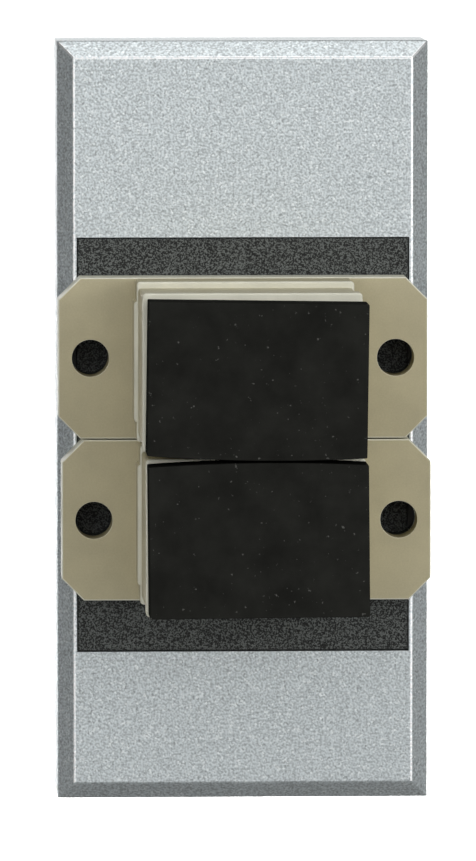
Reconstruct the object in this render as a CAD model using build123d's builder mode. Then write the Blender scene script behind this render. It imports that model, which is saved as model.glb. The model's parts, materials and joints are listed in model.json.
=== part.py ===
"""Fibre optic wall outlet: one-module snap-in cover with two stacked fibre adapters.

Frame: X to the right, Z up, Y into the wall, millimetres. The origin is the centre of the seat plane,
where the rear rim of the cover lies on the support frame. The cover's face and the ports look along -Y.
"""

import os
from math import cos, radians, sin

from build123d import *

os.makedirs("parts", exist_ok=True)

# Cover: a bevelled shell with a full-width window
cover_width = 22.0
cover_height = 45.0
cover_depth = 7.0
cover_side_wall = 1.15
cover_end_wall = 1.2
cover_face_wall = 1.3
bevel_side = 0.98
bevel_end = 0.97
bevel_depth = 1.0
cover_corner_radius = 0.3
face_edge_radius = 0.3
window_height = 24.6
window_centre_z = -1.4

# Catches that hold the chassis in the cover
catch_width = 8.0
catch_height = 0.35
catch_length = 1.2
catch_from_seat = 3.4
catch_clearance = 0.1

# Adapter plate: a dark insert that fills the window, with a wider base behind the cover's face
plate_gap = 0.05
plate_edge_radius = 0.15
plate_base_thickness = 0.8
plate_base_overlap = 2.5
relief_depth = 1.5

# Adapters: two welded halves each, mirrored about the middle of the flange
adapter_pitch = 9.58
adapters_centre_z = -0.88
upper_shift_x = -0.1
lower_shift_x = 0.1
flange_side_gap = 0.1
flange_height = 9.5
flange_half = 1.2
flange_corner = 1.3
flange_edge_radius = 0.12
hole_from_end = 1.9
hole_radius = 1.1
root_width = 12.76
front_root_height = 9.4
rear_root_height = 9.1
root_length = 3.3
rail_depth = 0.16
rail_height = 7.1
barrel_width = 12.6
barrel_height = 8.64
half_length = 13.7
collar_width = 12.69
collar_height = 9.16
collar_length = 1.6
body_corner_radius = 0.2
body_edge_radius = 0.1
port_width = 9.1
port_height = 7.5
mouth_chamfer = 0.3
key_width = 3.2
key_length = 8.5
cutout_clearance = 0.1

# Sleeve holders with their latch arms, clamped between the halves
holder_width = 10.9
holder_height = 8.1
holder_thickness = 0.8
holder_clearance = 0.08
tube_radius = 2.3
tube_lip = 0.6
tube_lip_radius = 1.35
arm_thickness = 0.75
arm_height = 2.8
arm_length = 7.8
arm_gap = 0.2
hook_depth = 0.45
hook_length = 1.2

# Split alignment sleeve for 2.5 mm ferrules
sleeve_length = 11.4
sleeve_bore_radius = 1.25
sleeve_wall = 0.35
sleeve_split = 0.35
sleeve_clearance = 0.1

# Mounting clip: sheet spring over the rear half, its tongues bear on the back of the plate
clip_thickness = 0.25
clip_width = 6.0
clip_fit = 0.02
clip_leg = 7.6
tongue_height = 3.0
tongue_side_gap = 0.6
tongue_root = 0.8
tongue_window_margin = 0.25

# Dust caps
cap_head_width = 12.66
cap_head_thickness = 3.0
cap_head_corner = 0.08
cap_head_edge = 0.08
cap_head_bulge = 0.2
cap_plug_clearance = 0.32
cap_plug_wall = 0.7
cap_plug_depth = 8.4
cap_plug_corner = 0.4
cap_arm_clearance = 0.45
upper_cap_height = 8.85
lower_cap_height = 8.74
rear_cap_height = 8.72

# How the two front caps sit askew in their ports: across, up and turned clockwise. The upper one is
# pushed in upside down, so that the bowed sides of the two heads face each other.
upper_cap_shift_x = 0.2
upper_cap_shift_z = -0.25
upper_cap_turn = 180.8
lower_cap_shift_x = 0.07
lower_cap_shift_z = 0.0
lower_cap_turn = -0.5

# Chassis: the open-backed frame behind the cover
chassis_clearance = 0.1
chassis_wall = 1.0
chassis_web = 1.0
chassis_rear = 12.0
chassis_edge = 0.6
tongue_gap_side = 0.5
chassis_opening_margin = 1.4
tooth_width = 8.0
tooth_height = 0.8
tooth_from_seat = 2.3
tooth_length = 3.2
tooth_flat = 0.5
slit_width = 0.8
slit_front = 1.0

# Places worked out from the sizes above
window_width = cover_width - 2 * cover_side_wall
cavity_height = cover_height - 2 * cover_end_wall
cavity_depth = cover_depth - cover_face_wall
plate_back_y = -cavity_depth + plate_base_thickness
flange_middle_y = -cover_depth - flange_half
flange_width = cover_width - 2 * flange_side_gap
hole_spacing = flange_width - 2 * hole_from_end
holder_bore_radius = sleeve_bore_radius + sleeve_wall + sleeve_clearance
holder_bore_depth = sleeve_length / 2 + sleeve_clearance
barrel_length = half_length - flange_half - root_length - collar_length
cutout_width = root_width + 2 * rail_depth + abs(lower_shift_x - upper_shift_x) + 2 * cutout_clearance
cutout_height = adapter_pitch + rear_root_height + 2 * cutout_clearance
upper_centre = (upper_shift_x, adapters_centre_z + adapter_pitch / 2)
lower_centre = (lower_shift_x, adapters_centre_z - adapter_pitch / 2)
cap_plug_width = port_width - 2 * cap_plug_clearance
cap_plug_height = port_height - 2 * cap_plug_clearance
chassis_width = window_width - 2 * chassis_clearance
chassis_height = cavity_height - 2 * chassis_clearance


def save(part, name):
    """Label a finished piece and write it to its own file."""
    part.label = name
    export_step(part, f"parts/{name}.step")


def half_plane(centre, side, shift_x=0.0, shift_z=0.0, turn=0.0):
    """Plane at the middle of an adapter's flange that looks out of one port, side is -1 in front, +1 behind."""
    origin = (centre[0] + shift_x, flange_middle_y, centre[1] + shift_z)
    across = (-side * cos(radians(turn)), 0, side * sin(radians(turn)))
    return Plane(origin=origin, x_dir=across, z_dir=(0, side, 0))


def outward(plane):
    """Axis along a half's own direction, for sorting its faces."""
    return Axis(plane.origin, plane.z_dir)


def make_housing(plane, root_height):
    """One half of an adapter: flange half, railed root, barrel and mouth collar around the port."""
    way_out = outward(plane)
    root_start = flange_half
    barrel_start = root_start + root_length
    collar_start = barrel_start + barrel_length
    with BuildPart() as housing:
        with BuildSketch(plane) as flange:
            Rectangle(flange_width, flange_height)
            chamfer(flange.vertices(), flange_corner)
            with GridLocations(hole_spacing, 0, 2, 1):
                Circle(hole_radius, mode=Mode.SUBTRACT)
        extrude(amount=flange_half)
        fillet(housing.faces().sort_by(way_out)[-1].outer_wire().edges(), flange_edge_radius)
        with BuildSketch(plane.offset(root_start)):
            RectangleRounded(root_width, root_height, body_corner_radius)
        extrude(amount=root_length)
        fillet(housing.faces().sort_by(way_out)[-1].outer_wire().edges(), body_edge_radius)
        with BuildSketch(plane.offset(root_start)):
            Rectangle(root_width + 2 * rail_depth, rail_height)
        extrude(amount=root_length)
        with BuildSketch(plane.offset(barrel_start)):
            RectangleRounded(barrel_width, barrel_height, body_corner_radius)
        extrude(amount=barrel_length)
        with BuildSketch(plane.offset(collar_start)):
            RectangleRounded(collar_width, collar_height, body_corner_radius)
        extrude(amount=collar_length)
        fillet(housing.faces().sort_by(way_out)[-1].outer_wire().edges(), body_edge_radius)
        with BuildSketch(plane):
            Rectangle(port_width, port_height)
        extrude(amount=half_length, mode=Mode.SUBTRACT)
        chamfer(housing.faces().sort_by(way_out)[-1].inner_wires().edges(), mouth_chamfer)
        with BuildSketch(plane):
            Rectangle(holder_width + 2 * holder_clearance, holder_height + 2 * holder_clearance)
        extrude(amount=holder_thickness + holder_clearance, mode=Mode.SUBTRACT)
        with BuildSketch(plane.offset(half_length - key_length)):
            with Locations((0, -collar_height / 2)):
                Rectangle(key_width, collar_height)
        extrude(amount=key_length, mode=Mode.SUBTRACT)
    return housing.part


def make_holder(plane):
    """Sleeve holder: base plate, bored tube with an end lip, and two hooked latch arms."""
    tube_length = holder_bore_depth + tube_lip
    arm_outer = port_width / 2 - arm_gap
    hook_start = holder_thickness + arm_length - hook_length
    with BuildPart() as holder:
        with BuildSketch(plane):
            Rectangle(holder_width, holder_height)
        extrude(amount=holder_thickness)
        with BuildSketch(plane):
            Circle(tube_radius)
        extrude(amount=tube_length)
        with BuildSketch(plane):
            with GridLocations(2 * arm_outer - arm_thickness, 0, 2, 1):
                Rectangle(arm_thickness, arm_height)
        extrude(amount=holder_thickness + arm_length)
        with BuildSketch(plane.offset(hook_start)):
            with GridLocations(2 * (arm_outer - arm_thickness) - hook_depth, 0, 2, 1):
                Rectangle(hook_depth, arm_height)
        extrude(amount=hook_length)
        with BuildSketch(plane):
            Circle(holder_bore_radius)
        extrude(amount=holder_bore_depth, mode=Mode.SUBTRACT)
        with BuildSketch(plane):
            Circle(tube_lip_radius)
        extrude(amount=tube_length, mode=Mode.SUBTRACT)
    return holder.part


def make_sleeve(plane):
    """Split sleeve, centred on the middle of the flange, its slit upwards."""
    outer_radius = sleeve_bore_radius + sleeve_wall
    with BuildPart() as sleeve:
        with BuildSketch(plane):
            Circle(outer_radius)
            Circle(sleeve_bore_radius, mode=Mode.SUBTRACT)
            with Locations((0, outer_radius)):
                Rectangle(sleeve_split, 2 * sleeve_wall + sleeve_split, mode=Mode.SUBTRACT)
        extrude(amount=sleeve_length / 2, both=True)
    return sleeve.part


def make_clip(plane):
    """Bent sheet clip round the top and sides of the rear barrel, with a sprung tongue on each side."""
    start = flange_half + root_length + clip_fit
    inner_width = barrel_width + 2 * clip_fit
    outer_width = inner_width + 2 * clip_thickness
    top = barrel_height / 2 + clip_fit + clip_thickness
    tongue_start = plate_back_y - flange_middle_y + clip_fit
    tongue_end = start + clip_width - tongue_root
    side = Plane(origin=plane.origin, x_dir=(1, 0, 0), z_dir=(0, 0, 1))
    outer_x = outer_width / 2
    inner_x = inner_width / 2
    shift_x = (lower_shift_x - upper_shift_x) / 2
    tongue_spread = chassis_width / 2 - chassis_wall - tongue_side_gap - shift_x - outer_x
    with BuildPart() as clip:
        with BuildSketch(plane.offset(start)):
            with Locations((0, top)):
                Rectangle(outer_width, clip_leg, align=(Align.CENTER, Align.MAX))
            with Locations((0, top - clip_thickness)):
                Rectangle(inner_width, clip_leg, align=(Align.CENTER, Align.MAX), mode=Mode.SUBTRACT)
        extrude(amount=clip_width)
        with BuildSketch(side):
            with Locations((0, (start + tongue_root + tongue_end) / 2)):
                Rectangle(2 * outer_width, tongue_end - start - tongue_root)
        extrude(amount=tongue_height / 2 + tongue_window_margin, both=True, mode=Mode.SUBTRACT)
        with BuildSketch(side):
            with BuildLine():
                Polyline(
                    (inner_x, tongue_end),
                    (outer_x, tongue_end),
                    (outer_x + tongue_spread, tongue_start),
                    (inner_x + tongue_spread, tongue_start),
                    close=True,
                )
            make_face()
            mirror(about=Plane.YZ)
        extrude(amount=tongue_height / 2, both=True)
    return clip.part


def make_cap(plane, head_height):
    """Dust cap: a head with a bowed top, and a hollow plug with side notches for the latch arms."""
    way_out = outward(plane)
    plug_end = half_length - cap_plug_depth
    notch_height = arm_height + 2 * cap_arm_clearance
    notch_length = holder_thickness + arm_length + cap_arm_clearance - plug_end
    with BuildPart() as cap:
        with BuildSketch(plane.offset(half_length)) as head:
            with BuildLine():
                ThreePointArc(
                    (-cap_head_width / 2, head_height / 2),
                    (0, head_height / 2 + cap_head_bulge),
                    (cap_head_width / 2, head_height / 2),
                )
                Polyline(
                    (cap_head_width / 2, head_height / 2),
                    (cap_head_width / 2, -head_height / 2),
                    (-cap_head_width / 2, -head_height / 2),
                    (-cap_head_width / 2, head_height / 2),
                )
            make_face()
            fillet(head.vertices(), cap_head_corner)
        extrude(amount=cap_head_thickness)
        fillet(cap.faces().sort_by(way_out)[-1].edges(), cap_head_edge)
        with BuildSketch(plane.offset(plug_end)):
            RectangleRounded(cap_plug_width, cap_plug_height, cap_plug_corner)
        extrude(amount=cap_plug_depth)
        with BuildSketch(plane.offset(plug_end)):
            Rectangle(cap_plug_width - 2 * cap_plug_wall, cap_plug_height - 2 * cap_plug_wall)
        extrude(amount=cap_plug_depth - cap_plug_wall, mode=Mode.SUBTRACT)
        with BuildSketch(plane.offset(plug_end)):
            Rectangle(cap_plug_width, notch_height)
        extrude(amount=notch_length, mode=Mode.SUBTRACT)
    return cap.part


# Room for the tips of screws behind the flange holes, sunk into the plate and the cover
front = Plane.XZ
with BuildPart() as screw_reliefs:
    with BuildSketch(front.offset(cover_depth - relief_depth)):
        for centre in (upper_centre, lower_centre):
            with Locations(centre):
                with GridLocations(hole_spacing, 0, 2, 1):
                    Circle(hole_radius)
    extrude(amount=relief_depth)

# Front cover, silver: bevelled shell, full-width window, catch grooves inside its end walls
with BuildPart() as front_cover:
    with BuildSketch(front):
        Rectangle(cover_width, cover_height)
    extrude(amount=cover_depth - bevel_depth)
    with BuildSketch(front.offset(cover_depth - bevel_depth)):
        Rectangle(cover_width, cover_height)
    with BuildSketch(front.offset(cover_depth)):
        Rectangle(cover_width - 2 * bevel_side, cover_height - 2 * bevel_end)
    loft(ruled=True)
    upright = front_cover.edges().filter_by(Axis.Y)
    fillet(upright, cover_corner_radius)
    fillet(front_cover.faces().sort_by(Axis.Y)[0].edges(), face_edge_radius)
    with BuildSketch(front):
        Rectangle(window_width, cavity_height)
    extrude(amount=cavity_depth, mode=Mode.SUBTRACT)
    with BuildSketch(front):
        with Locations((0, window_centre_z)):
            Rectangle(window_width, window_height)
    extrude(amount=cover_depth, mode=Mode.SUBTRACT)
    with BuildSketch(front.offset(catch_from_seat - catch_clearance)):
        Rectangle(catch_width + 2 * catch_clearance, cavity_height + 2 * catch_height)
    extrude(amount=catch_length + 2 * catch_clearance, mode=Mode.SUBTRACT)
    add(screw_reliefs.part, mode=Mode.SUBTRACT)
save(front_cover.part, "front_cover")

# Adapter plate, dark: flush in the window, its base trapped between cover and chassis
with BuildPart() as adapter_plate:
    with BuildSketch(front.offset(-plate_back_y)):
        with Locations((0, window_centre_z)):
            Rectangle(window_width - 2 * plate_gap, window_height + 2 * plate_base_overlap)
    extrude(amount=plate_base_thickness)
    with BuildSketch(front.offset(cavity_depth)):
        with Locations((0, window_centre_z)):
            Rectangle(window_width - 2 * plate_gap, window_height - 2 * plate_gap)
    extrude(amount=cover_face_wall)
    fillet(adapter_plate.faces().sort_by(Axis.Y)[0].edges(), plate_edge_radius)
    with BuildSketch(front.offset(-plate_back_y)):
        with Locations((0, adapters_centre_z)):
            Rectangle(cutout_width, cutout_height)
    extrude(amount=plate_base_thickness + cover_face_wall, mode=Mode.SUBTRACT)
    add(screw_reliefs.part, mode=Mode.SUBTRACT)
save(adapter_plate.part, "adapter_plate")

# Chassis, dark: open-backed box with a web behind the plate and a sprung tongue in each end wall
with BuildPart() as module_chassis:
    with BuildSketch(front.offset(-chassis_rear)):
        Rectangle(chassis_width, chassis_height)
    extrude(amount=chassis_rear - plate_back_y)
    chamfer(module_chassis.faces().sort_by(Axis.Y)[-1].edges(), chassis_edge)
    with BuildSketch(front.offset(-chassis_rear)):
        Rectangle(chassis_width - 2 * chassis_wall, chassis_height - 2 * chassis_wall)
    extrude(amount=chassis_rear - plate_back_y - chassis_web, mode=Mode.SUBTRACT)
    with BuildSketch(front.offset(-chassis_rear)):
        with Locations((0, adapters_centre_z)):
            Rectangle(chassis_width - 2 * chassis_wall, cutout_height + 2 * chassis_opening_margin)
    extrude(amount=chassis_rear - plate_back_y, mode=Mode.SUBTRACT)
    with BuildSketch(front.offset(-chassis_rear)):
        with GridLocations(tooth_width + 2 * tongue_gap_side + slit_width, 0, 2, 1):
            Rectangle(slit_width, chassis_height)
    extrude(amount=chassis_rear - slit_front, mode=Mode.SUBTRACT)
    with BuildSketch(Plane.YZ):
        for end in (1, -1):
            foot_z = end * (chassis_height / 2 - chassis_wall / 2)
            wall_z = end * chassis_height / 2
            crest_z = end * (chassis_height / 2 + tooth_height)
            with BuildLine():
                Polyline(
                    (tooth_from_seat, foot_z),
                    (tooth_from_seat, crest_z),
                    (tooth_from_seat + tooth_flat, crest_z),
                    (tooth_from_seat + tooth_length, wall_z),
                    (tooth_from_seat + tooth_length, foot_z),
                    close=True,
                )
            make_face()
    extrude(amount=tooth_width / 2, both=True)
    with BuildSketch(front.offset(catch_from_seat)):
        with GridLocations(0, chassis_height - chassis_wall + catch_height, 1, 2):
            Rectangle(catch_width, chassis_wall + catch_height)
    extrude(amount=catch_length)
save(module_chassis.part, "module_chassis")

# The two adapters, each with its halves, holders, sleeve, clip and caps
adapters = {
    "upper": (upper_centre, upper_cap_height, upper_cap_shift_x, upper_cap_shift_z, upper_cap_turn),
    "lower": (lower_centre, lower_cap_height, lower_cap_shift_x, lower_cap_shift_z, lower_cap_turn),
}
for row, (centre, cap_height, cap_x, cap_z, cap_turn) in adapters.items():
    front_half = half_plane(centre, -1)
    rear_half = half_plane(centre, 1)
    save(make_housing(front_half, front_root_height), f"{row}_front_housing")
    save(make_housing(rear_half, rear_root_height), f"{row}_rear_housing")
    save(make_holder(front_half), f"{row}_front_sleeve_holder")
    save(make_holder(rear_half), f"{row}_rear_sleeve_holder")
    save(make_sleeve(front_half), f"{row}_alignment_sleeve")
    save(make_clip(rear_half), f"{row}_mounting_clip")
    save(make_cap(half_plane(centre, -1, cap_x, cap_z, cap_turn), cap_height), f"{row}_front_dust_cap")
    save(make_cap(rear_half, rear_cap_height), f"{row}_rear_dust_cap")
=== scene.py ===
"""Fibre optic wall outlet: the dressed model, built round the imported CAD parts."""

import json
from math import pi, radians
from typing import NamedTuple

import bmesh
import bpy
from bpy.props import FloatProperty, FloatVectorProperty, PointerProperty
from mathutils import Matrix, Vector

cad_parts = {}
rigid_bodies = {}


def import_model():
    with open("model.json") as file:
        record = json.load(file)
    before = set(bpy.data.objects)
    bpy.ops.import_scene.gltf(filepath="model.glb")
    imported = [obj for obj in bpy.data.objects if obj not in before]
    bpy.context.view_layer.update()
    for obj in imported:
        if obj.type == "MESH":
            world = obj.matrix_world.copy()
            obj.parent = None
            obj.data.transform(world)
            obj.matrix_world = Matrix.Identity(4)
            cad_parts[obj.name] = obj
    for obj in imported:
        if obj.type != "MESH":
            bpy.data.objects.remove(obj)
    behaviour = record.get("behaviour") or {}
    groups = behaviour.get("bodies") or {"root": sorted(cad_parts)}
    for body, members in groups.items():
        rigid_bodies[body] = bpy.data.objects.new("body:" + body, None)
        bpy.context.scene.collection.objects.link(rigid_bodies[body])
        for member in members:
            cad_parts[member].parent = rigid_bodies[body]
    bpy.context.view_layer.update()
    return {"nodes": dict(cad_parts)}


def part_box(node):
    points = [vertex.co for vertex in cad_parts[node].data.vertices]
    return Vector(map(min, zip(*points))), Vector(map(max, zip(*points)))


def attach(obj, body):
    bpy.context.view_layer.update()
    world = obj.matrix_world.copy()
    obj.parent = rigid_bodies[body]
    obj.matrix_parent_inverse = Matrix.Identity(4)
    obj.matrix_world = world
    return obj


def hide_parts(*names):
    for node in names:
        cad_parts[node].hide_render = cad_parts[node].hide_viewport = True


bl_info = {
    "name": "Fibre optic wall outlet",
    "version": (1, 0, 0),
    "blender": (4, 5, 0),
    "location": "View3D > Sidebar > Outlet",
    "description": "Builds a one-module fibre optic wall outlet with two capped adapters",
    "category": "Object",
}

MM = 0.001
ROOT_BODY = "outlet"
ROWS = ("upper", "lower")
ENDS = ("front", "rear")

# How far a cutting block reaches past what it cuts
BEYOND = 1.0 * MM
# Lengths that differ by less are the same, and corners that lie closer are merged
SAME = 0.004 * MM
DOUBLES = 0.002 * MM
# Edges sharper than the first angle are broken, and shading is smooth up to the second
BREAK_ANGLE = radians(32)
SMOOTH_ANGLE = radians(35)
BREAK_STEPS = 2
PEG_CORNERS = 48

# Material slots of a piece: its own finish, a paler copy of it for a painted highlight on its edges and
# rims, and its hidden walls' finish
PLAIN = 0
EDGE = 1
HIDDEN = 2
# A bevel with this slot takes the finish of the faces beside it
BESIDE = -1

# The values between which most of a noise lies
NOISE = (0.3, 0.7)
# Sockets of the mix node when it mixes colours: share, first colour and second colour, and its result
MIX_INPUTS = (0, 6, 7)
MIX_OUTPUT = 2

# Turns of the front caps in degrees: the upper one is in upside down, and both sit askew
CAP_TURNS = {"upper_front": 180.8, "lower_front": -0.5}
# Strips into which a cap's head is cut so that it can bow
STRIPS_ACROSS = 12
STRIPS_UP = 8

# The floor, in metres, and the world's light
FLOOR_SIZE = 12.0
FLOOR_HEIGHT = -0.05
FLOOR_CLOUDS = 0.4
WORLD_COLOUR = (0.97, 0.985, 1.0, 1.0)
WORLD_STRENGTH = 0.1

CAMERA_PLACE = Vector((-25.0, -576.1, 42.4)) * MM
CAMERA_TARGET = Vector((-0.30, -7.0, -0.56)) * MM
# The photo's longer side and the focal length that fits it, both in pixels
PHOTO_HEIGHT = 861
FOCAL_PIXELS = 9646.5
# In millimetres, as the camera counts it
SENSOR_WIDTH = 36.0
CLIP_START = 0.01
CLIP_END = 50.0


class Softbox(NamedTuple):
    """A rectangular lamp that faces a target, in metres, with its spread in degrees."""

    name: str
    place: tuple
    size: tuple
    radiance: float
    target: tuple = (0, 0, 0)
    spread: float = 180.0


SOFTBOXES = (
    Softbox("front_softbox", place=(0.05, -1.3, 0.14), size=(1.6, 1.3), radiance=1.38, target=(0, 0, 0.1)),
    Softbox("left_softbox", place=(-0.85, -1.05, 0.15), size=(0.7, 0.6), radiance=2.2),
    Softbox("right_softbox", place=(1.05, -0.85, 0.25), size=(0.8, 0.6), radiance=3.5),
    Softbox("top_softbox", place=(0.05, -0.2, 1.0), size=(0.8, 0.9), radiance=1.55),
    Softbox("back_softbox", place=(-0.1, 1.3, 0.32), size=(1.2, 0.5), radiance=1.8),
    Softbox(
        "far_softbox", place=(0, 1.45, 0.9), size=(1.2, 2.6), radiance=4.5, target=(0, 1.45, 0), spread=20.0
    ),
)

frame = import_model()


def length(name, description, millimetres):
    """A property that holds a length."""
    return FloatProperty(
        name=name, description=description, default=millimetres * MM, unit="LENGTH", precision=5
    )


def colour(name, description, red, green, blue):
    """A property that holds a colour."""
    return FloatVectorProperty(
        name=name,
        description=description,
        default=(red, green, blue, 1.0),
        size=4,
        min=0.0,
        max=1.0,
        subtype="COLOR",
    )


class CoverSizes(bpy.types.PropertyGroup):
    """Sizes of the silver cover and the dark plate in its window."""

    bevel_side: length("Side bevel", "How far the bevel reaches in from the sides", 0.98)
    bevel_end: length("End bevel", "How far the bevel reaches in from the top and bottom", 0.97)
    bevel_depth: length("Bevel depth", "How far the bevel drops from the face", 1.0)
    side_wall: length("Side wall", "Thickness of the long walls", 1.15)
    end_wall: length("End wall", "Thickness of the top and bottom walls", 1.2)
    face_wall: length("Face wall", "Thickness of the face", 1.3)
    edge_round: length("Edge rounding", "Radius of the outer edges", 0.09)
    window_height: length("Window height", "Height of the window", 24.6)
    window_centre: length("Window centre", "Height of the window's middle", -1.4)
    plate_gap: length("Plate gap", "Space between the plate and the window", 0.05)
    plate_base: length("Plate base", "Thickness of the plate's hidden base", 0.8)
    plate_round: length("Plate rounding", "Radius of the plate's front edge", 0.12)
    cutout_width: length("Cut-out width", "Width of the plate's opening", 13.48)
    cutout_height: length("Cut-out height", "Height of the plate's opening", 18.88)
    cutout_centre: length("Cut-out centre", "Height of the opening's middle", -0.88)
    relief_depth: length("Relief depth", "Depth of the blind reliefs behind the flange holes", 1.5)
    groove_width: length("Groove width", "Width of the catch grooves inside the end walls", 8.2)
    groove_depth: length("Groove depth", "Depth of the catch grooves", 0.35)
    groove_front: length("Groove front", "Where the catch grooves begin, in front of the rim", 4.7)
    groove_back: length("Groove back", "Where the catch grooves end, in front of the rim", 3.3)
    cover_ease: length("Cover's easing", "Width of the cover's broken edges", 0.03)
    plate_ease: length("Plate's easing", "Width of the plate's broken edges", 0.04)


class AdapterSizes(bpy.types.PropertyGroup):
    """Sizes of one half of an adapter, from the middle of its flange outwards."""

    flange_half: length("Half flange", "Thickness of one half of the flange", 1.2)
    flange_corner: length("Flange corner", "Cut of the flange's corners", 1.3)
    flange_rim: length("Flange rim", "Radius of the flange's rim", 0.07)
    hole_spacing: length("Hole spacing", "Distance between the flange's holes", 18.0)
    hole_radius: length("Hole radius", "Radius of the flange's holes", 1.1)
    root_width: length("Root width", "Width of the root block", 12.76)
    front_root_height: length("Front root height", "Height of the front root block", 9.4)
    rear_root_height: length("Rear root height", "Height of the rear root block", 9.1)
    root_length: length("Root length", "Length of the root block", 3.3)
    rail_depth: length("Rail depth", "How far the side rails stand out", 0.16)
    rail_height: length("Rail height", "Height of the side rails", 7.1)
    barrel_width: length("Barrel width", "Width of the barrel", 12.6)
    barrel_height: length("Barrel height", "Height of the barrel", 8.64)
    collar_width: length("Collar width", "Width of the collar round the mouth", 12.69)
    collar_height: length("Collar height", "Height of the collar round the mouth", 9.16)
    collar_length: length("Collar length", "Length of the collar", 1.6)
    port_width: length("Port width", "Width of the port", 9.1)
    port_height: length("Port height", "Height of the port", 7.5)
    mouth_chamfer: length("Mouth chamfer", "Chamfer round the port's mouth", 0.3)
    key_width: length("Key width", "Width of the key slot", 3.2)
    key_length: length("Key length", "Length of the key slot", 8.5)
    pocket_width: length("Pocket width", "Width of the sleeve holder's pocket", 11.06)
    pocket_height: length("Pocket height", "Height of the sleeve holder's pocket", 8.26)
    pocket_depth: length("Pocket depth", "Depth of the sleeve holder's pocket", 0.88)
    corner_round: length("Corner rounding", "Radius of the long corners", 0.2)
    hole_rim: length("Hole rim", "Rounding of the flange holes' rims", 0.1)
    rim_round: length("Rim rounding", "Radius of the rims", 0.12)
    overlap: length("Overlap", "How far the blocks of the body reach into each other", 0.4)
    seam: length("Seam", "Depth beside the split face that keeps the plain finish", 0.07)
    ease: length("Easing", "Width of the broken edges", 0.06)


class CapSizes(bpy.types.PropertyGroup):
    """Sizes of the dust caps."""

    head_width: length("Head width", "Width of the cap's head", 12.66)
    upper_height: length("Upper head height", "Height of the upper front cap's head", 8.85)
    lower_height: length("Lower head height", "Height of the lower front cap's head", 8.74)
    rear_height: length("Rear head height", "Height of the rear caps' heads", 8.72)
    head_depth: length("Head depth", "Thickness of the cap's head", 3.0)
    head_corner: length("Head corner", "Radius of the head's long corners", 0.07)
    head_edge: length("Head edge", "Radius of the head's front edge", 0.06)
    bulge: length("Bulge", "How far one long side of the head bows out", 0.2)
    swell: length("Swell", "How far the middle of the head's face stands out", 0.04)
    plug_width: length("Plug width", "Width of the plug", 8.46)
    plug_height: length("Plug height", "Height of the plug", 6.86)
    plug_depth: length("Plug depth", "Length of the plug", 8.4)
    plug_wall: length("Plug wall", "Wall of the hollow plug", 0.7)
    plug_corner: length("Plug corner", "Radius of the plug's corners", 0.4)
    notch_height: length("Notch height", "Height of the latch arm notches", 3.7)
    notch_depth: length("Notch depth", "Length of the latch arm notches", 3.75)
    overlap: length("Overlap", "How far the plug reaches into the head", 0.5)
    ease: length("Easing", "Width of the broken edges", 0.05)


class OutletColours(bpy.types.PropertyGroup):
    """Colours of the outlet's finishes."""

    silver: colour("Silver paint", "Metallic paint of the cover", 0.6, 0.647, 0.662)
    plate: colour("Plate", "Dark plastic of the window plate", 0.048, 0.052, 0.05)
    chassis: colour("Chassis", "Dark plastic of the chassis", 0.045, 0.047, 0.05)
    beige: colour("Beige", "Plastic of the adapters", 0.525, 0.473, 0.305)
    # Painted highlight: a paler beige for the adapters' rims, flange sides and sections' front faces
    painted_highlight_beige: colour("Beige rims", "Polished rims of the adapters", 0.8, 0.785, 0.65)
    bronze: colour("Bronze", "Phosphor bronze of the sleeves", 0.66, 0.42, 0.24)
    spring: colour("Spring steel", "Steel of the mounting clips", 0.58, 0.58, 0.57)
    rubber: colour("Rubber", "Rubber of the dust caps", 0.018, 0.0183, 0.0162)
    dust: colour("Dust", "Pale dust on the dust caps", 0.16, 0.16, 0.15)
    floor: colour("Floor", "Plain floor of the studio", 0.5, 0.5, 0.495)


def let_go():
    """Leaves edit mode and deselects everything."""
    active = bpy.context.view_layer.objects.active
    if active is not None and active.mode != "OBJECT":
        bpy.ops.object.mode_set(mode="OBJECT")
    for thing in bpy.context.view_layer.objects:
        thing.select_set(False)


def take(piece):
    """Makes a piece the only one selected, and the active one."""
    let_go()
    piece.select_set(True)
    bpy.context.view_layer.objects.active = piece


def settle(piece):
    """Moves a piece's place, turn and scale into its mesh."""
    take(piece)
    bpy.ops.object.transform_apply(location=True, rotation=True, scale=True)


def block(name, low, high):
    """Starts a piece as a block between two corners."""
    let_go()
    low = Vector(low)
    high = Vector(high)
    bpy.ops.mesh.primitive_cube_add(size=1.0, location=(low + high) / 2)
    piece = bpy.context.object
    piece.scale = high - low
    piece.name = name
    piece.data.name = name
    settle(piece)
    return piece


def peg(name, centre, radius, depth):
    """Starts a piece as a round peg that lies along Y."""
    let_go()
    bpy.ops.mesh.primitive_cylinder_add(
        vertices=PEG_CORNERS,
        radius=radius,
        depth=depth,
        location=centre,
        rotation=(radians(90), 0, 0),
    )
    piece = bpy.context.object
    piece.name = name
    settle(piece)
    return piece


def cut(piece, *tools):
    """Takes the tools' shapes out of a piece and removes the tools."""
    combine(piece, tools, "DIFFERENCE")


def join(piece, *others):
    """Melts other pieces into this one."""
    combine(piece, others, "UNION")


def combine(piece, others, operation):
    """Runs one exact boolean for each of the other pieces."""
    for other in others:
        take(piece)
        step = piece.modifiers.new("step", "BOOLEAN")
        step.operation = operation
        step.solver = "EXACT"
        step.object = other
        bpy.ops.object.modifier_apply(modifier=step.name)
        bpy.data.objects.remove(other)


def edges_where(piece, test):
    """In edit mode, selects the edges whose two ends pass a test."""
    bpy.ops.mesh.select_mode(type="EDGE")
    bpy.ops.mesh.select_all(action="DESELECT")
    shape = bmesh.from_edit_mesh(piece.data)
    for edge in shape.edges:
        if test(edge.verts[0].co, edge.verts[1].co):
            edge.select_set(True)
    bmesh.update_edit_mesh(piece.data)


def faces_where(piece, test):
    """In edit mode, selects the faces whose normal and middle pass a test."""
    bpy.ops.mesh.select_mode(type="FACE")
    bpy.ops.mesh.select_all(action="DESELECT")
    shape = bmesh.from_edit_mesh(piece.data)
    for face in shape.faces:
        if test(face.normal, face.calc_center_median()):
            face.select_set(True)
    bmesh.update_edit_mesh(piece.data)


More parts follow.
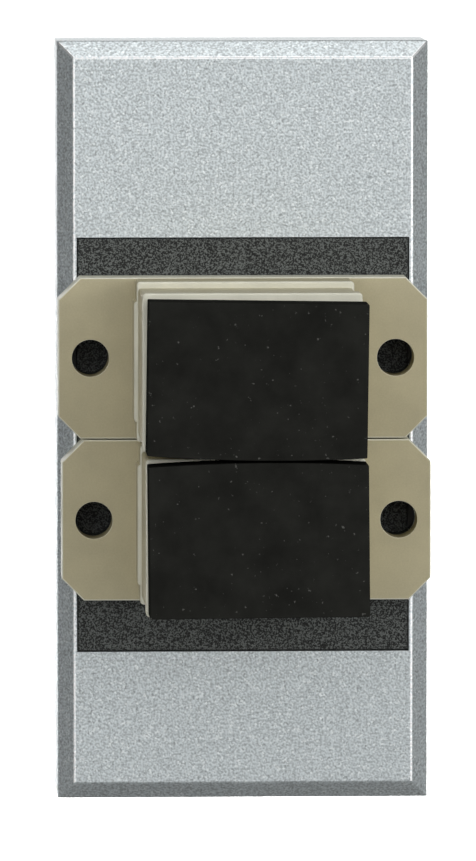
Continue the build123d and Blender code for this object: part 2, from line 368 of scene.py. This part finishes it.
def near(first, second):
    """True if two lengths are the same to a few micrometres."""
    return abs(first - second) < SAME


def round_edges(piece, test, radius, segments=3, material=BESIDE):
    """Rounds the edges whose ends pass a test, in the finish of a material slot if one is given."""
    take(piece)
    bpy.ops.object.mode_set(mode="EDIT")
    edges_where(piece, test)
    bpy.ops.mesh.bevel(
        offset=radius, segments=segments, affect="EDGES", clamp_overlap=True, material=material
    )
    bpy.ops.object.mode_set(mode="OBJECT")


def along_y(first, second):
    """True for an edge that runs along Y."""
    return near(first.x, second.x) and near(first.z, second.z)


def at_y(place):
    """A test for edges that lie at one depth."""
    return lambda first, second: near(first.y, place) and near(second.y, place)


def finish_piece(piece, ease, material=BESIDE):
    """Merges doubles, breaks the last sharp edges and shades the piece."""
    take(piece)
    bpy.ops.object.mode_set(mode="EDIT")
    bpy.ops.mesh.select_all(action="SELECT")
    bpy.ops.mesh.remove_doubles(threshold=DOUBLES)
    bpy.ops.mesh.normals_make_consistent(inside=False)
    bpy.ops.object.mode_set(mode="OBJECT")
    step = piece.modifiers.new("edges", "BEVEL")
    step.width = ease
    step.segments = BREAK_STEPS
    step.limit_method = "ANGLE"
    step.angle_limit = BREAK_ANGLE
    step.use_clamp_overlap = True
    step.material = material
    bpy.ops.object.modifier_apply(modifier=step.name)
    bpy.ops.object.shade_smooth_by_angle(angle=SMOOTH_ANGLE)
    step = piece.modifiers.new("shading", "WEIGHTED_NORMAL")
    step.keep_sharp = True
    bpy.ops.object.modifier_apply(modifier=step.name)


def coat(piece, *finishes):
    """Puts finishes in a piece's material slots, in the order plain, painted highlight and hidden."""
    piece.data.materials.clear()
    for finish in finishes:
        piece.data.materials.append(Finishes.get(finish))


def dress(piece, slot, body, *nodes):
    """Gives a piece its body, and lets it stand for its nodes; the slot is not used."""
    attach(piece, body)
    if nodes:
        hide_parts(*nodes)


class Recipe:
    """A material's node tree while it is being put together."""

    def __init__(self, name):
        self.material = bpy.data.materials.new(name)
        self.material.use_nodes = True
        self.tree = self.material.node_tree
        self.shader = self.tree.nodes["Principled BSDF"]
        self.place = self.add("ShaderNodeTexCoord").outputs["Object"]

    def add(self, kind, **settings):
        """Adds a node with its settings."""
        node = self.tree.nodes.new(kind)
        for name, value in settings.items():
            setattr(node, name, value)
        return node

    def link(self, output, socket):
        """Links an output to a socket."""
        self.tree.links.new(output, socket)

    def set(self, **values):
        """Sets constants on the shader's own sockets."""
        for name, value in values.items():
            self.shader.inputs[name.replace("_", " ")].default_value = value

    def noise(self, grain, detail=2.0, distortion=0.0):
        """Noise with a grain given as a length."""
        node = self.add("ShaderNodeTexNoise")
        node.inputs["Scale"].default_value = 1.0 / grain
        node.inputs["Detail"].default_value = detail
        node.inputs["Distortion"].default_value = distortion
        self.link(self.place, node.inputs["Vector"])
        return node.outputs["Fac"]

    def cells(self, grain):
        """A random value for each cell of a given size."""
        node = self.add("ShaderNodeTexVoronoi")
        node.inputs["Scale"].default_value = 1.0 / grain
        self.link(self.place, node.inputs["Vector"])
        channels = self.add("ShaderNodeSeparateColor")
        self.link(node.outputs["Color"], channels.inputs["Color"])
        return channels.outputs["Red"]

    def ramp(self, value, *stops):
        """A colour ramp through stops of place and colour."""
        node = self.add("ShaderNodeValToRGB")
        elements = node.color_ramp.elements
        while len(elements) < len(stops):
            elements.new(0.5)
        for element, (place, tone) in zip(elements, stops):
            element.position = place
            element.color = tone
        self.link(value, node.inputs["Fac"])
        return node.outputs["Color"]

    def spread(self, value, source, target):
        """Maps a value from one range to another, each given by its two ends."""
        node = self.add("ShaderNodeMapRange")
        self.link(value, node.inputs["Value"])
        for name, (first, last) in (("From", source), ("To", target)):
            node.inputs[f"{name} Min"].default_value = first
            node.inputs[f"{name} Max"].default_value = last
        return node.outputs["Result"]

    def mix(self, share, first, second, blend="MIX"):
        """Mixes two colours, each a link or a constant."""
        node = self.add("ShaderNodeMix", data_type="RGBA", blend_type=blend)
        for index, value in zip(MIX_INPUTS, (share, first, second)):
            if isinstance(value, bpy.types.NodeSocket):
                self.link(value, node.inputs[index])
            else:
                node.inputs[index].default_value = value
        return node.outputs[MIX_OUTPUT]

    def bump(self, height, distance):
        """Bump from a height map, its distance given as a length."""
        node = self.add("ShaderNodeBump")
        node.inputs["Distance"].default_value = distance
        self.link(height, node.inputs["Height"])
        self.link(node.outputs["Normal"], self.shader.inputs["Normal"])


def shade(base, factor):
    """A lighter or darker shade of a colour."""
    return (*(min(1.0, channel * factor) for channel in base[:3]), 1.0)


def grey(level):
    """A neutral colour."""
    return (level, level, level, 1.0)


def silver_paint(name, base, highlight_lift, metallic, roughness):
    """Fine metallic paint with pale flakes and dark pits; a lift above 1 makes it paler, a painted
    highlight for the rounded edges.
    """
    recipe = Recipe(name)
    grain = recipe.noise(0.13 * MM, detail=0.3)
    flakes = recipe.cells(0.11 * MM)
    pits = recipe.noise(0.16 * MM, detail=0.5)
    coat_tone = recipe.ramp(
        grain,
        (0.34, shade(base, 0.79 * highlight_lift)),
        (0.5, shade(base, highlight_lift)),
        (0.66, shade(base, 1.18 * highlight_lift)),
    )
    pit_share = recipe.spread(pits, (0.64, 0.74), (0.0, 0.7))
    pitted = recipe.mix(pit_share, coat_tone, shade(base, 0.5 * highlight_lift))
    glint_share = recipe.spread(flakes, (0.86, 0.97), (0.0, 0.6))
    glinting = recipe.mix(glint_share, pitted, shade(base, 1.6 * highlight_lift))
    recipe.link(glinting, recipe.shader.inputs["Base Color"])
    shine = recipe.spread(flakes, (0.0, 1.0), (metallic - 0.07, metallic + 0.07))
    recipe.link(shine, recipe.shader.inputs["Metallic"])
    satin = recipe.spread(grain, NOISE, (roughness + 0.05, roughness - 0.05))
    recipe.link(satin, recipe.shader.inputs["Roughness"])
    recipe.bump(grain, 0.01 * MM)
    return recipe.material


def grained_plate(base):
    """Dark plastic with a fine worm-like grain."""
    recipe = Recipe("anthracite_plastic")
    worms = recipe.noise(0.085 * MM, detail=0.3, distortion=0.5)
    blots = recipe.noise(0.9 * MM, detail=2.0)
    shades = recipe.ramp(
        worms,
        (0.39, shade(base, 0.2)),
        (0.5, shade(base, 0.9)),
        (0.62, shade(base, 2.75)),
    )
    recipe.link(recipe.mix(0.03, shades, blots, "OVERLAY"), recipe.shader.inputs["Base Color"])
    recipe.link(recipe.spread(worms, NOISE, (0.62, 0.48)), recipe.shader.inputs["Roughness"])
    recipe.set(Specular_IOR_Level=0.3)
    recipe.bump(worms, 0.03 * MM)
    return recipe.material


def moulded_plastic(name, base, grain, depth, roughness):
    """Moulded plastic with faint clouds and a spark-eroded skin."""
    recipe = Recipe(name)
    clouds = recipe.noise(2.2 * MM, detail=3.0)
    skin = recipe.noise(grain, detail=2.0)
    low, high = NOISE
    tone = recipe.ramp(clouds, (low, shade(base, 0.93)), (high, shade(base, 1.06)))
    fine = recipe.ramp(skin, (low, grey(0.44)), (high, grey(0.56)))
    recipe.link(recipe.mix(0.35, tone, fine, "OVERLAY"), recipe.shader.inputs["Base Color"])
    satin = recipe.spread(skin, NOISE, (roughness + 0.06, roughness - 0.06))
    recipe.link(satin, recipe.shader.inputs["Roughness"])
    recipe.bump(skin, depth)
    return recipe.material


def black_rubber(base, dust_tone):
    """Matt black rubber with clouds and sparse pale dust."""
    recipe = Recipe("black_rubber")
    clouds = recipe.noise(1.6 * MM, detail=4.0)
    skin = recipe.noise(0.12 * MM, detail=2.0)
    dust = recipe.noise(0.26 * MM, detail=2.0)
    body = recipe.ramp(clouds, (0.3, shade(base, 0.85)), (0.75, shade(base, 1.35)))
    dust_share = recipe.spread(dust, (0.7, 0.76), (0.0, 0.6))
    recipe.link(recipe.mix(dust_share, body, dust_tone), recipe.shader.inputs["Base Color"])
    recipe.set(Specular_IOR_Level=0.0)
    recipe.link(recipe.spread(skin, NOISE, (0.62, 0.5)), recipe.shader.inputs["Roughness"])
    recipe.bump(skin, 0.006 * MM)
    return recipe.material


def sheet_metal(name, base, grain, stretch, roughness):
    """Drawn or rolled metal with lines along one direction."""
    recipe = Recipe(name)
    mapping = recipe.add("ShaderNodeMapping")
    mapping.inputs["Scale"].default_value = stretch
    recipe.link(recipe.place, mapping.inputs["Vector"])
    recipe.place = mapping.outputs["Vector"]
    lines = recipe.noise(grain, detail=3.0)
    low, high = NOISE
    tone = recipe.ramp(lines, (low, shade(base, 0.85)), (high, shade(base, 1.1)))
    recipe.link(tone, recipe.shader.inputs["Base Color"])
    recipe.set(Metallic=1.0)
    polish = recipe.spread(lines, NOISE, (roughness + 0.08, roughness - 0.06))
    recipe.link(polish, recipe.shader.inputs["Roughness"])
    recipe.bump(lines, 0.004 * MM)
    return recipe.material


def studio_floor(base):
    """Plain pale floor with hardly visible clouds."""
    recipe = Recipe("studio_floor")
    clouds = recipe.noise(FLOOR_CLOUDS, detail=1.0)
    low, high = NOISE
    tone = recipe.ramp(clouds, (low, shade(base, 0.985)), (high, shade(base, 1.0)))
    recipe.link(tone, recipe.shader.inputs["Base Color"])
    recipe.set(Roughness=0.9, Specular_IOR_Level=0.0)
    return recipe.material


class Finishes:
    """The outlet's materials, each made once."""

    made = {}

    @classmethod
    def get(cls, name):
        """Returns a finish by its name: a slot of the record, or a paler copy of one that paints a
        highlight on its rims and edges.
        """
        if name not in cls.made:
            colours = bpy.context.scene.outlet_colours
            makers = {
                "silver_paint": lambda: silver_paint(
                    name, colours.silver, highlight_lift=1.0, metallic=0.78, roughness=0.4
                ),
                # A paler, shinier copy of the paint: a painted highlight on the cover's rounded edges
                "silver_painted_highlight": lambda: silver_paint(
                    name, colours.silver, highlight_lift=1.7, metallic=0.88, roughness=0.38
                ),
                "anthracite_plastic": lambda: grained_plate(colours.plate),
                "chassis_plastic": lambda: moulded_plastic(
                    name, colours.chassis, grain=0.25 * MM, depth=0.012 * MM, roughness=0.6
                ),
                "beige_plastic": lambda: moulded_plastic(
                    name, colours.beige, grain=0.1 * MM, depth=0.004 * MM, roughness=0.46
                ),
                # A paler copy of the beige: a painted highlight on the adapters' rims, flange sides and
                # front faces
                "beige_painted_highlight": lambda: moulded_plastic(
                    name, colours.painted_highlight_beige, grain=0.1 * MM, depth=0.004 * MM, roughness=0.4
                ),
                "phosphor_bronze": lambda: sheet_metal(
                    name, colours.bronze, grain=0.12 * MM, stretch=(1, 0.1, 1), roughness=0.34
                ),
                "spring_steel": lambda: sheet_metal(
                    name, colours.spring, grain=0.12 * MM, stretch=(0.1, 1, 1), roughness=0.36
                ),
                "black_rubber": lambda: black_rubber(colours.rubber, colours.dust),
            }
            cls.made[name] = makers[name]()
        return cls.made[name]


def sink_reliefs(piece, face, material):
    """Sinks the blind reliefs behind the flange holes into a piece whose face lies at a given depth."""
    depth = 2 * bpy.context.scene.outlet_cover.relief_depth
    adapter = bpy.context.scene.outlet_adapter
    margin = 0.02 * MM
    for row in ROWS:
        low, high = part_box(f"{row}_front_housing")
        middle = (low + high) / 2
        for side in (-1, 1):
            centre = Vector((middle.x + side * adapter.hole_spacing / 2, face, middle.z))
            cut(piece, peg("relief", centre, adapter.hole_radius, depth))
            for polygon in piece.data.polygons:
                away = polygon.center - centre
                if away.y > margin and away.xz.length < adapter.hole_radius + margin:
                    polygon.material_index = material


class OUTLET_OT_front_cover(bpy.types.Operator):
    """Builds the silver bevelled cover with its window"""

    bl_idname = "outlet.front_cover"
    bl_label = "Front cover"

    def execute(self, context):
        sizes = context.scene.outlet_cover
        low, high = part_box("front_cover")
        shoulder = low.y + sizes.bevel_depth
        width = high.x - low.x
        height = high.z - low.z
        cover = block("cover_shell", (low.x, shoulder, low.z), high)
        take(cover)
        bpy.ops.object.mode_set(mode="EDIT")
        faces_where(cover, lambda normal, middle: normal.y < -0.9)
        bpy.ops.mesh.extrude_region_move(
            TRANSFORM_OT_translate={"value": (0, -sizes.bevel_depth, 0)}
        )
        bpy.ops.transform.resize(
            value=((width - 2 * sizes.bevel_side) / width, 1, (height - 2 * sizes.bevel_end) / height),
            center_override=(0, low.y, 0),
        )
        bpy.ops.object.mode_set(mode="OBJECT")
        rim = high.y
        coat(cover, "silver_paint", "silver_painted_highlight", "chassis_plastic")
        # The outer edges are rounded in the paler edge paint, a painted highlight
        round_edges(
            cover,
            lambda first, second: not at_y(rim)(first, second),
            sizes.edge_round,
            segments=4,
            material=EDGE,
        )
        # The walls and the lower bevel keep the plain paint on their edges, so the painted highlight lies
        # only on the edges of the face and its upper and side bevels
        hem = low.z + 1.3 * sizes.bevel_end
        for face in cover.data.polygons:
            if face.center.y > shoulder - sizes.edge_round or face.center.z < hem:
                face.material_index = PLAIN
        inner_x = high.x - sizes.side_wall
        inner_z = high.z - sizes.end_wall
        half_window = sizes.window_height / 2
        groove_x = sizes.groove_width / 2
        groove_z = inner_z + sizes.groove_depth
        cut(
            cover,
            block(
                "cavity",
                (-inner_x, low.y + sizes.face_wall, -inner_z),
                (inner_x, rim + BEYOND, inner_z),
            ),
            block(
                "window",
                (-inner_x, low.y - BEYOND, sizes.window_centre - half_window),
                (inner_x, rim + BEYOND, sizes.window_centre + half_window),
            ),
            block(
                "groove",
                (-groove_x, rim - sizes.groove_front, -groove_z),
                (groove_x, rim - sizes.groove_back, groove_z),
            ),
        )
        sink_reliefs(cover, low.y, HIDDEN)
        finish_piece(cover, sizes.cover_ease)
        dress(cover, "silver_paint", ROOT_BODY, "front_cover")
        return {"FINISHED"}


class OUTLET_OT_adapter_plate(bpy.types.Operator):
    """Builds the dark grained plate in the window"""

    bl_idname = "outlet.adapter_plate"
    bl_label = "Adapter plate"

    def execute(self, context):
        sizes = context.scene.outlet_cover
        low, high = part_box("adapter_plate")
        pad_half = sizes.window_height / 2 - sizes.plate_gap
        plate = block(
            "window_plate",
            (low.x, low.y, sizes.window_centre - pad_half),
            (high.x, high.y - sizes.plate_base / 2, sizes.window_centre + pad_half),
        )
        round_edges(plate, at_y(low.y), sizes.plate_round)
        base = block("base", (low.x, high.y - sizes.plate_base, low.z), high)
        join(plate, base)
        half_width = sizes.cutout_width / 2
        half_height = sizes.cutout_height / 2
        cut(
            plate,
            block(
                "opening",
                (-half_width, low.y - BEYOND, sizes.cutout_centre - half_height),
                (half_width, high.y + BEYOND, sizes.cutout_centre + half_height),
            ),
        )
        sink_reliefs(plate, low.y, PLAIN)
        finish_piece(plate, sizes.plate_ease)
        coat(plate, "anthracite_plastic")
        dress(plate, "anthracite_plastic", ROOT_BODY, "adapter_plate")
        return {"FINISHED"}


def half_turn(side):
    """The turn that makes a front half a rear one."""
    return Matrix.Rotation(radians(180), 4, "Z") if side > 0 else Matrix.Identity(4)


def placed_copy(master, name, where):
    """A copy of a piece with its own mesh, moved by a matrix."""
    piece = master.copy()
    piece.data = master.data.copy()
    piece.name = name
    piece.data.name = name
    bpy.context.scene.collection.objects.link(piece)
    piece.matrix_world = where
    settle(piece)
    return piece


class OUTLET_OT_housings(bpy.types.Operator):
    """Builds the four beige halves of the adapters"""

    bl_idname = "outlet.housings"
    bl_label = "Adapter housings"

    def execute(self, context):
        sizes = context.scene.outlet_adapter
        for end, side in zip(ENDS, (-1, 1)):
            root_height = sizes.front_root_height if side < 0 else sizes.rear_root_height
            shape = self.shape(sizes, root_height)
            for row in ROWS:
                node = f"{row}_{end}_housing"
                low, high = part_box(node)
                centre = (low + high) / 2
                split = high.y if side < 0 else low.y
                where = Matrix.Translation((centre.x, split, centre.z)) @ half_turn(side)
                housing = placed_copy(shape, f"{row}_{end}_body", where)
                dress(housing, "beige_plastic", ROOT_BODY, node)
            bpy.data.objects.remove(shape)
        return {"FINISHED"}

    @staticmethod
    def section(sizes, half_width, half_height, start, end):
        """One block of the body, its long corners and its outer rim rounded, its outer end face and rim in
        the paler beige of a painted highlight.
        """
        part = block("section", (-half_width, -end, -half_height), (half_width, -start, half_height))
        coat(part, "beige_plastic", "beige_painted_highlight")
        for face in part.data.polygons:
            face.material_index = EDGE if near(face.center.y, -end) else PLAIN
        round_edges(part, along_y, sizes.corner_round, material=PLAIN)
        round_edges(part, at_y(-end), sizes.rim_round, material=EDGE)
        return part

    @classmethod
    def shape(cls, sizes, root_height):
        """One half with its split face at y 0 and its mouth towards -Y."""
        low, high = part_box("upper_front_housing")
        reach = high.y - low.y
        width = (high.x - low.x) / 2
        height = (high.z - low.z) / 2
        root_end = sizes.flange_half + sizes.root_length
        collar_start = reach - sizes.collar_length
        shape = block("housing_shape", (-width, -sizes.flange_half, -height), (width, 0, height))
        coat(shape, "beige_plastic", "beige_painted_highlight")
        # The flange's sides and front rim take the paler beige: a painted highlight
        for face in shape.data.polygons:
            face.material_index = EDGE if abs(face.normal.y) < 0.5 else PLAIN
        round_edges(shape, along_y, sizes.flange_corner, segments=1)
        round_edges(shape, at_y(-sizes.flange_half), sizes.flange_rim, material=EDGE)
        overlap = sizes.overlap
        barrel_x = sizes.barrel_width / 2
        barrel_z = sizes.barrel_height / 2
        root_x = sizes.root_width / 2
        rail_x = root_x + sizes.rail_depth
        collar_x = sizes.collar_width / 2
        collar_z = sizes.collar_height / 2
        join(
            shape,
            cls.section(sizes, root_x, root_height / 2, overlap, root_end),
            cls.section(sizes, rail_x, sizes.rail_height / 2, overlap, root_end),
            cls.section(sizes, barrel_x, barrel_z, overlap, reach - overlap),
            cls.section(sizes, collar_x, collar_z, collar_start, reach),
        )
        port_x = sizes.port_width / 2
        port_z = sizes.port_height / 2
        margin = 0.01 * MM
        cut(shape, block("port", (-port_x, -reach - BEYOND, -port_z), (port_x, BEYOND, port_z)))
        round_edges(
            shape,
            lambda first, second: at_y(-reach)(first, second)
            and max(abs(first.x), abs(second.x)) < port_x + margin
            and max(abs(first.z), abs(second.z)) < port_z + margin,
            sizes.mouth_chamfer,
            segments=2,
        )
        cut(
            shape,
            block(
                "pocket",
                (-sizes.pocket_width / 2, -sizes.pocket_depth, -sizes.pocket_height / 2),
                (sizes.pocket_width / 2, BEYOND, sizes.pocket_height / 2),
            ),
            block(
                "key",
                (-sizes.key_width / 2, -reach - BEYOND, -height - BEYOND),
                (sizes.key_width / 2, sizes.key_length - reach, -port_z + overlap),
            ),
        )
        for side in (-1, 1):
            centre = (side * sizes.hole_spacing / 2, -sizes.flange_half / 2, 0)
            cut(shape, peg("hole", centre, sizes.hole_radius, 4 * sizes.flange_half))
        reach_x = sizes.hole_spacing / 2 - sizes.hole_radius - margin
        reach_z = sizes.hole_radius + margin
        # The holes' rims are rounded in the paler beige of a painted highlight
        round_edges(
            shape,
            lambda first, second: at_y(-sizes.flange_half)(first, second)
            and min(abs(first.x), abs(second.x)) > reach_x
            and max(abs(first.z), abs(second.z)) < reach_z,
            sizes.hole_rim,
            segments=2,
            material=EDGE,
        )
        # Every other broken edge takes the paler beige of the painted highlight, except beside the split
        # face
        finish_piece(shape, sizes.ease, material=EDGE)
        for face in shape.data.polygons:
            if face.center.y > -sizes.seam:
                face.material_index = PLAIN
        return shape


class OUTLET_OT_dust_caps(bpy.types.Operator):
    """Builds the four black rubber dust caps"""

    bl_idname = "outlet.dust_caps"
    bl_label = "Dust caps"

    def execute(self, context):
        sizes = context.scene.outlet_cap
        heights = {"upper_front": sizes.upper_height, "lower_front": sizes.lower_height}
        for row in ROWS:
            for end, side in zip(ENDS, (-1, 1)):
                name = f"{row}_{end}"
                low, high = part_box(f"{name}_dust_cap")
                height = heights.get(name, sizes.rear_height)
                cap = self.shape(sizes, f"{name}_cap_rubber", height, high.y - low.y)
                turn = Matrix.Rotation(radians(CAP_TURNS.get(name, 0.0)), 4, "Y")
                cap.matrix_world = turn @ half_turn(side)
                settle(cap)
                corners = [corner.co for corner in cap.data.vertices]
                own_low = Vector([min(corner[axis] for corner in corners) for axis in range(3)])
                own_high = Vector([max(corner[axis] for corner in corners) for axis in range(3)])
                cap.location = (low + high - own_low - own_high) / 2
                settle(cap)
                finish_piece(cap, sizes.ease)
                coat(cap, "black_rubber")
                dress(cap, "black_rubber", f"{name}_cap", f"{name}_dust_cap")
        return {"FINISHED"}

    @staticmethod
    def bow(cap, half_x, half_z, bulge, swell, front_edge):
        """Cuts the head into strips, bows its top and lets the rim of its face lie back a little."""
        take(cap)
        bpy.ops.object.mode_set(mode="EDIT")
        for axis, half, strips in ((0, half_x, STRIPS_ACROSS), (2, half_z, STRIPS_UP)):
            for strip in range(1, strips):
                place = [0.0, 0.0, 0.0]
                place[axis] = half * (2 * strip / strips - 1)
                normal = [0.0, 0.0, 0.0]
                normal[axis] = 1.0
                bpy.ops.mesh.select_all(action="SELECT")
                bpy.ops.mesh.bisect(plane_co=place, plane_no=normal)
        shape = bmesh.from_edit_mesh(cap.data)
        for corner in shape.verts:
            across = min(1.0, abs(corner.co.x) / half_x)
            up = min(1.0, abs(corner.co.z) / half_z)
            if corner.co.z > 0:
                corner.co.z *= 1 + bulge / half_z * (1 - across**2)
            if corner.co.y < front_edge:
                corner.co.y += swell * (across**2 + up**2) / 2
        bmesh.update_edit_mesh(cap.data)
        bpy.ops.object.mode_set(mode="OBJECT")

    @classmethod
    def shape(cls, sizes, name, height, reach):
        """One cap that looks along -Y, the middle of its face at the origin."""
        half_x = sizes.head_width / 2
        half_z = height / 2
        cap = block(name, (-half_x, 0, -half_z), (half_x, sizes.head_depth, half_z))
        round_edges(cap, along_y, sizes.head_corner, segments=4)
        round_edges(cap, at_y(0), sizes.head_edge, segments=4)
        round_edges(cap, at_y(sizes.head_depth), sizes.head_edge / 2, segments=2)
        cls.bow(cap, half_x, half_z, sizes.bulge, sizes.swell, sizes.head_depth / 2)
        plug_x = sizes.plug_width / 2
        plug_z = sizes.plug_height / 2
        plug_start = sizes.head_depth - sizes.overlap
        plug = block("plug", (-plug_x, plug_start, -plug_z), (plug_x, reach, plug_z))
        round_edges(plug, along_y, sizes.plug_corner)
        join(cap, plug)
        wall = sizes.plug_wall
        hollow_start = reach - sizes.plug_depth + wall
        cut(
            cap,
            block(
                "hollow",
                (-plug_x + wall, hollow_start, -plug_z + wall),
                (plug_x - wall, reach + BEYOND, plug_z - wall),
            ),
            block(
                "notch",
                (-plug_x - BEYOND, reach - sizes.notch_depth, -sizes.notch_height / 2),
                (plug_x + BEYOND, reach + BEYOND, sizes.notch_height / 2),
            ),
        )
        return cap


class OUTLET_OT_inner_parts(bpy.types.Operator):
    """Gives the chassis, holders, sleeves and clips their finishes"""

    bl_idname = "outlet.inner_parts"
    bl_label = "Inner parts"

    def execute(self, context):
        finishes = {
            "module_chassis": "chassis_plastic",
            "sleeve_holder": "beige_plastic",
            "alignment_sleeve": "phosphor_bronze",
            "mounting_clip": "spring_steel",
        }
        for name, node in frame["nodes"].items():
            for ending, slot in finishes.items():
                if name.endswith(ending):
                    coat(node, slot)
        return {"FINISHED"}


def turn_towards(place, target):
    """The turn that makes a lamp or a camera at a place face a target."""
    return (Vector(target) - Vector(place)).to_track_quat("-Z", "Y").to_euler()


def light(softbox):
    """Adds a softbox, its power worked out from its radiance."""
    let_go()
    bpy.ops.object.light_add(type="AREA", location=softbox.place)
    lamp = bpy.context.object
    lamp.name = softbox.name
    width, height = softbox.size
    lamp.data.shape = "RECTANGLE"
    lamp.data.size = width
    lamp.data.size_y = height
    lamp.data.energy = softbox.radiance * width * height * pi
    lamp.data.spread = radians(softbox.spread)
    lamp.rotation_euler = turn_towards(softbox.place, softbox.target)
    lamp.visible_camera = False


class OUTLET_OT_stage(bpy.types.Operator):
    """Sets the floor, the lamps, the world and the camera"""

    bl_idname = "outlet.stage"
    bl_label = "Stage"

    def execute(self, context):
        scene = context.scene
        let_go()
        bpy.ops.mesh.primitive_grid_add(
            x_subdivisions=2, y_subdivisions=2, size=FLOOR_SIZE, location=(0, 0, FLOOR_HEIGHT)
        )
        floor = context.object
        floor.name = "studio_floor"
        settle(floor)
        floor.data.materials.append(studio_floor(scene.outlet_colours.floor))
        for softbox in SOFTBOXES:
            light(softbox)
        world = bpy.data.worlds.new("studio")
        scene.world = world
        world.use_nodes = True
        background = world.node_tree.nodes["Background"]
        background.inputs["Color"].default_value = WORLD_COLOUR
        background.inputs["Strength"].default_value = WORLD_STRENGTH
        camera_data = bpy.data.cameras.new("photo_camera")
        camera = bpy.data.objects.new("photo_camera", camera_data)
        scene.collection.objects.link(camera)
        camera.location = CAMERA_PLACE
        camera.rotation_euler = turn_towards(CAMERA_PLACE, CAMERA_TARGET)
        camera_data.sensor_width = SENSOR_WIDTH
        camera_data.lens = SENSOR_WIDTH * FOCAL_PIXELS / PHOTO_HEIGHT
        camera_data.clip_start = CLIP_START
        camera_data.clip_end = CLIP_END
        scene.camera = camera
        scene.view_settings.view_transform = "Standard"
        return {"FINISHED"}


class OUTLET_PT_panel(bpy.types.Panel):
    """Lists the outlet's pieces in the sidebar"""

    bl_idname = "OUTLET_PT_panel"
    bl_label = "Fibre optic wall outlet"
    bl_space_type = "VIEW_3D"
    bl_region_type = "UI"
    bl_category = "Outlet"

    def draw(self, context):
        layout = self.layout
        for group_name in GROUPS:
            group = getattr(context.scene, group_name)
            box = layout.box()
            for property_name in group.__annotations__:
                box.prop(group, property_name)
        for operator in OPERATORS:
            layout.operator(operator.bl_idname)


GROUPS = {
    "outlet_cover": CoverSizes,
    "outlet_adapter": AdapterSizes,
    "outlet_cap": CapSizes,
    "outlet_colours": OutletColours,
}
OPERATORS = (
    OUTLET_OT_front_cover,
    OUTLET_OT_adapter_plate,
    OUTLET_OT_housings,
    OUTLET_OT_dust_caps,
    OUTLET_OT_inner_parts,
    OUTLET_OT_stage,
)


def register():
    """Registers the settings, the operators and the panel."""
    for name, group in GROUPS.items():
        bpy.utils.register_class(group)
        setattr(bpy.types.Scene, name, PointerProperty(type=group))
    for operator in OPERATORS:
        bpy.utils.register_class(operator)
    bpy.utils.register_class(OUTLET_PT_panel)


def unregister():
    """Takes out what register put in."""
    bpy.utils.unregister_class(OUTLET_PT_panel)
    for operator in reversed(OPERATORS):
        bpy.utils.unregister_class(operator)
    for name, group in GROUPS.items():
        delattr(bpy.types.Scene, name)
        bpy.utils.unregister_class(group)


def main():
    """Builds every piece and the stage."""
    register()
    bpy.ops.outlet.front_cover()
    bpy.ops.outlet.adapter_plate()
    bpy.ops.outlet.housings()
    bpy.ops.outlet.dust_caps()
    bpy.ops.outlet.inner_parts()
    bpy.ops.outlet.stage()


if __name__ == "__main__":
    main()
